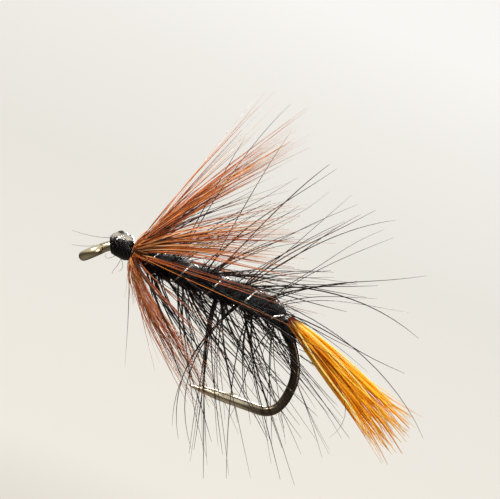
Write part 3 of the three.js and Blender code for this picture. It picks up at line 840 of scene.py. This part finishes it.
for place_name, locks in collar_locks.items():
    name = "collar_hackle_" + place_name
    clock, lean, length, count, shade = np.array(locks).T
    lock = np.repeat(np.arange(len(locks)), count.astype(int))
    count = len(lock)
    place = collar_middle + luck.uniform(-0.26, 0.26, count)
    own_clock = clock[lock] + luck.normal(0, 3.2, count)
    own_lean = lean[lock] + luck.normal(0, 2.3, count)
    own_aside = luck.normal(0, 2.4, count)
    roots = wire_centre(place) + wire_outward(place, own_clock) * 0.5
    upright = np.clip((own_lean - 40) / 25, 0, 1)
    start = lean_out(place, own_clock, own_lean + 14 - 8 * upright, own_aside)
    start = start + (0.4 - 0.3 * upright)[:, None] * wire_outward(place, own_clock)
    finish = lean_out(place, own_clock, own_lean - 2, own_aside)
    own_length = length[lock] * luck.uniform(0.72, 1.04, count)
    bow = luck.normal(0, 0.03, (len(locks), 3))[lock] + luck.normal(0, 0.022, (count, 3))
    wave = luck.normal(0, 0.022, (count, 3))
    paths = grown(roots, start, finish, own_length, bow, wave)
    own_shade = np.clip(shade[lock] - 0.06 + luck.normal(0, 0.24, count), 0, 0.96)
    half = luck.uniform(0.026, 0.058, count)

    # The short webby barbs at the foot of the feather, which hide the quill.
    web_place = collar_middle + luck.uniform(-0.34, 0.3, web_count)
    web_clock = clock.mean() if place_name != "far" else 0.0
    web_clock = web_clock + luck.uniform(-26, 26, web_count)
    web_lean = luck.uniform(38, 66, web_count)
    web_roots = wire_centre(web_place) + wire_outward(web_place, web_clock) * 0.48
    web_start = wire_outward(web_place, web_clock) + 0.1 * wire_along(web_place)
    web_finish = lean_out(web_place, web_clock, web_lean, luck.normal(0, 12, web_count))
    web_paths = grown(
        web_roots, web_start, web_finish, luck.uniform(0.8, 2.8, web_count),
        luck.normal(0, 0.1, (web_count, 3)), luck.normal(0, 0.08, (web_count, 3)))
    paths = np.concatenate([paths, web_paths])
    own_shade = np.append(own_shade, luck.uniform(0.1, 0.95, web_count))
    half = np.append(half, luck.uniform(0.03, 0.05, web_count))
    strays = collar_strays.get(name, [])
    if strays:
        stray_paths = [bezier(corners, len(barb_marks)) for _, _, corners in strays]
        paths = np.concatenate([paths, np.array(stray_paths)])
        own_shade = np.append(own_shade, [stray_shade for stray_shade, _, _ in strays])
        half = np.append(half, [stray_half for _, stray_half, _ in strays])
    taper = np.interp(barb_marks, [0, 0.15, 0.45, 0.75, 1], [0.85, 1.0, 0.8, 0.45, 0.14])
    wide = half[:, None] * taper
    facing = luck.normal(0, 1, (len(paths), 1, 3))
    bunch = bend_bars(name + "_barbs", fibre_bar, paths, wide, wide * 0.5, facing, own_shade)
    bunch.data.materials.append(brown_hackle)
    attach(bunch, name)
    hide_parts(name)


# ---- Head -------------------------------------------------------------------------------------
# The same black thread wound in a short cone over the feather butts, in close turns that cross near
# the eye, and finished with a few knotted turns.

head_start = 0.46
head_end = 1.78
head_front_width = 0.78
head_back_width = 1.16
head_thread_pitch = 0.0892


def head_radius(place):
    share = np.clip((place - head_start) / (head_end - head_start), 0, 1)
    cone = (head_front_width + (head_back_width - head_front_width) * np.sqrt(share)) / 2
    shoulder = np.clip((share - 0.75) / 0.25, 0, 1)
    return cone * (1 - 0.18 * shoulder * shoulder * (3 - 2 * shoulder))


head_places = np.linspace(head_start + 0.02, head_end - 0.02, 33)
head_core_radius = head_radius(head_places) - 0.055
head_core = bend_bars(
    "head_core", straight_bar(24, [7, 3]), wire_centre(head_places)[None],
    head_core_radius, head_core_radius, far_side, [0.5])
head_turns = wound(
    "head_turns", 6, [15, 23], head_start + 0.04, head_end - 0.04, head_thread_pitch,
    lambda place: head_radius(place) - 0.045, 0.046, 0.039)
cross_turns = wound(
    "head_cross_turns", 6, [11, 7], head_start + 0.1, head_end - 0.08, 0.31,
    lambda place: head_radius(place) - 0.03, 0.042, 0.03)
for part in (head_core, head_turns, cross_turns):
    part.data.materials.append(waxed_thread)
    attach(part, "hook_and_body")
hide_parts("head_thread")


# ---- Head varnish -----------------------------------------------------------------------------
# Clear cellulose varnish brushed over the head. It soaks the thread, and a drop of it has set in a
# wrinkled lump on top.

varnish_places = np.linspace(head_start + 0.03, head_end - 0.03, 65)
varnish_depth = 0.03
varnish_radius = head_radius(varnish_places) + varnish_depth
varnish = bend_bars(
    "head_varnish_coat", straight_bar(40, [15, 3]), wire_centre(varnish_places)[None],
    varnish_radius, varnish_radius, far_side, [0.5])
lump_at = head_start + 0.46 * (head_end - head_start)
lump_height = 0.36
lump_half_length = 0.56
coat = np.array([corner.co for corner in varnish.data.vertices]) * 1000
coat_share = np.zeros(len(coat), np.float32)
varnish.data.attributes["along"].data.foreach_get("value", coat_share)
coat_place = varnish_places[0] + coat_share * (varnish_places[-1] - varnish_places[0])
coat_out = coat - wire_centre(coat_place)
coat_out = unit(coat_out)
from_top = np.clip(np.sum(coat_out * wire_outward(coat_place, np.full(len(coat), 90.0)), axis=1), 0, 1)
ripple = np.sin(coat_place * 9 + coat_out[:, 1] * 4) * 0.05
ripple = ripple + np.sin(coat_place * 17 - coat_out[:, 1] * 9) * 0.04
lump = np.exp(-(((coat_place - lump_at) / lump_half_length) ** 4)) * (lump_height + ripple)
lump = lump * from_top ** 2
thread_ridges = 0.003 * np.sin(coat_place * 2 * math.pi / head_thread_pitch)
ends = np.minimum(coat_share, 1 - coat_share) < 1e-4
grown_coat = coat + coat_out * (lump + np.where(ends, -varnish_depth, thread_ridges))[:, None]
for corner, spot in zip(varnish.data.vertices, grown_coat):
    corner.co = Vector(spot * 0.001)

# Cellulose varnish over black thread: a wet, clear gloss. Light goes into the lump and comes out
# grey-brown, and its wrinkles catch several separate highlights.
cellulose = new_material("clear_cellulose_varnish")
place = add_node(cellulose, "ShaderNodeTexCoord", {}, {})
wrinkles = add_node(cellulose, "ShaderNodeTexVoronoi", {"Scale": 2600.0}, {"Vector": (place, "Object")})
varnish_skin = bumped(cellulose, (wrinkles, "Distance"), 0.5, 0.00006)
add_surface(
    cellulose,
    {"Base Color": paint("#e9e2d8"), "Roughness": 0.03, "IOR": 1.33, "Transmission Weight": 1.0},
    {"Normal": (varnish_skin, "Normal")},
)
varnish.data.materials.append(cellulose)
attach(varnish, "hook_and_body")
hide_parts("head_varnish")


# ---- Loose hairs ------------------------------------------------------------------------------
# Two fine hairs trapped by the head turns point forward past the eye, and three short ends of fur
# curl out under the head.

hair_corners = [
    [(1.0, 0.1, 1.3), (0.3, 0.1, 0.95), (-0.5, 0.0, 0.75), (-1.55, -0.1, 0.7)],
    [(0.9, -0.2, 1.2), (0.2, -0.3, 0.3), (-0.6, -0.3, 0.1), (-1.25, -0.35, -0.05)],
    [(1.3, -0.2, 0.35), (1.0, -0.3, -0.1), (0.7, -0.3, -0.1), (0.75, -0.3, 0.2)],
    [(1.6, -0.1, 0.3), (1.7, -0.3, -0.2), (1.4, -0.3, -0.5), (1.5, -0.3, -0.75)],
    [(1.5, 0.2, 0.3), (1.9, 0.2, 0.0), (2.0, 0.2, -0.35), (1.7, 0.2, -0.5)],
]
hair_paths = np.array([bezier(corners, len(barb_marks)) for corners in hair_corners])
hair_half = np.interp(barb_marks, [0, 1], [0.018, 0.008]) * np.ones((len(hair_paths), 1))
loose_hairs = bend_bars(
    "loose_hairs", fibre_bar, hair_paths, hair_half, hair_half, far_side, np.full(len(hair_paths), 0.7))
loose_hairs.data.materials.append(black_hackle)
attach(loose_hairs, "hook_and_body")


# ---- Studio -----------------------------------------------------------------------------------
# A pale paper floor that curves up into a round wall, so that every side has the same plain ground,
# a large soft light high in front on the left, two weaker ones on the right in front and behind, and
# the camera.

floor_drop = 0.1
bowl_middle = 0.01
bowl_radius = 0.32
cove = 0.15
profile = [(0.0, 0.0)]
for step in range(13):
    turn = math.radians(7.5 * step)
    profile.append((bowl_radius - cove + cove * math.sin(turn), cove - cove * math.cos(turn)))
profile.append((bowl_radius, 0.4))
outline = bpy.data.meshes.new("paper_floor")
outline.from_pydata(
    [(bowl_middle + r, 0, z - floor_drop) for r, z in profile],
    [(k, k + 1) for k in range(len(profile) - 1)], [])
bowl = bpy.data.objects.new("paper_floor", outline)
bpy.context.scene.collection.objects.link(bowl)
bpy.ops.object.select_all(action="DESELECT")
bowl.select_set(True)
bpy.context.view_layer.objects.active = bowl
bpy.ops.object.mode_set(mode="EDIT")
bpy.ops.mesh.select_all(action="SELECT")
bpy.ops.mesh.spin(steps=96, angle=2 * math.pi, center=(bowl_middle, 0, 0), axis=(0, 0, 1))
bpy.ops.mesh.select_all(action="SELECT")
bpy.ops.mesh.remove_doubles(threshold=1e-6)
bpy.ops.mesh.normals_make_consistent(inside=True)
bpy.ops.object.mode_set(mode="OBJECT")
bpy.ops.object.shade_smooth()

# Matte paper: an even pale cream, darkened towards the floor as painted shade and brightened towards the top
# of the wall as painted light. It also glows a little in the same colour.
matte_paper = new_material("matte_backdrop_paper")
place = add_node(matte_paper, "ShaderNodeTexCoord", {}, {})
axes = add_node(matte_paper, "ShaderNodeSeparateXYZ", {}, {"Vector": (place, "Object")})
height = add_node(
    matte_paper, "ShaderNodeMapRange", {"From Min": -floor_drop, "From Max": 0.12}, {"Value": (axes, "Z")}
)
# The colour by height is painted light: painted shade low down, painted light high up the wall.
paper_colour = add_node(
    matte_paper,
    "ShaderNodeValToRGB",
    {"stops": [(0.0, "#a39f97"), (0.18, "#d0ccc4"), (0.5, "#dad8d2"), (0.8, "#f4f3f1")]},
    {"Fac": (height, "Result")},
)
add_surface(
    matte_paper,
    {"Roughness": 1.0, "Specular IOR Level": 0.0, "Emission Strength": 0.45},
    {"Base Color": (paper_colour, "Color"), "Emission Color": (paper_colour, "Color")},
)
bowl.data.materials.append(matte_paper)
bowl.visible_diffuse = False
bowl.visible_glossy = False
bowl.visible_transmission = True
bowl.visible_shadow = False

studio = bpy.data.worlds.new("studio_room")
studio.use_nodes = True
studio.node_tree.nodes.clear()
place = add_node(studio, "ShaderNodeTexCoord", {}, {})
axes = add_node(studio, "ShaderNodeSeparateXYZ", {}, {"Vector": (place, "Generated")})
height = add_node(
    studio, "ShaderNodeMapRange", {"From Min": -1.0, "From Max": 1.0}, {"Value": (axes, "Z")}
)
room = add_node(
    studio,
    "ShaderNodeValToRGB",
    {"stops": [(0.0, "#948e84"), (0.38, "#4a4641"), (0.5, "#8c8780"), (0.62, "#f6f4f0"),
               (1.0, "#ffffff")]},
    {"Fac": (height, "Result")},
)
glow = add_node(studio, "ShaderNodeBackground", {"Strength": 1.0}, {"Color": (room, "Color")})
add_node(studio, "ShaderNodeOutputWorld", {}, {"Surface": (glow, "Background")})
bpy.context.scene.world = studio

fly_middle = Vector((0.009, 0, 0.0))
for light_name, spot, size, watts in (
    ("soft_key", (-0.036, -0.058, 0.074), 0.05, 0.17),
    ("soft_fill", (0.075, -0.065, 0.025), 0.06, 0.03),
    ("soft_rim", (0.03, 0.075, 0.03), 0.06, 0.1),
):
    bpy.ops.object.light_add(type="AREA", location=spot)
    lamp = bpy.context.object
    lamp.name = light_name
    lamp.data.shape = "DISK"
    lamp.data.size = size
    lamp.data.energy = watts
    lamp.rotation_euler = (fly_middle - Vector(spot)).to_track_quat("-Z", "Y").to_euler()
    lamp.visible_camera = False

# The camera looks straight across the fly, rolled so that the shank runs down to the right.
bpy.ops.object.camera_add()
camera = bpy.context.object
camera_at = Vector((0.00824, -0.07917, 0.00348))
roll = math.radians(22)
across = Vector((math.cos(roll), 0, math.sin(roll)))
upward = Vector((-math.sin(roll), 0, math.cos(roll)))
camera.matrix_world = Matrix((
    (across.x, upward.x, 0, camera_at.x),
    (across.y, upward.y, -1, camera_at.y),
    (across.z, upward.z, 0, camera_at.z),
    (0, 0, 0, 1),
))
camera.data.lens = 100
camera.data.sensor_width = 36
camera.data.clip_start = 0.001
camera.data.clip_end = 2
bpy.context.scene.camera = camera
bpy.context.scene.view_settings.view_transform = "Standard"

bpy.context.view_layer.update()
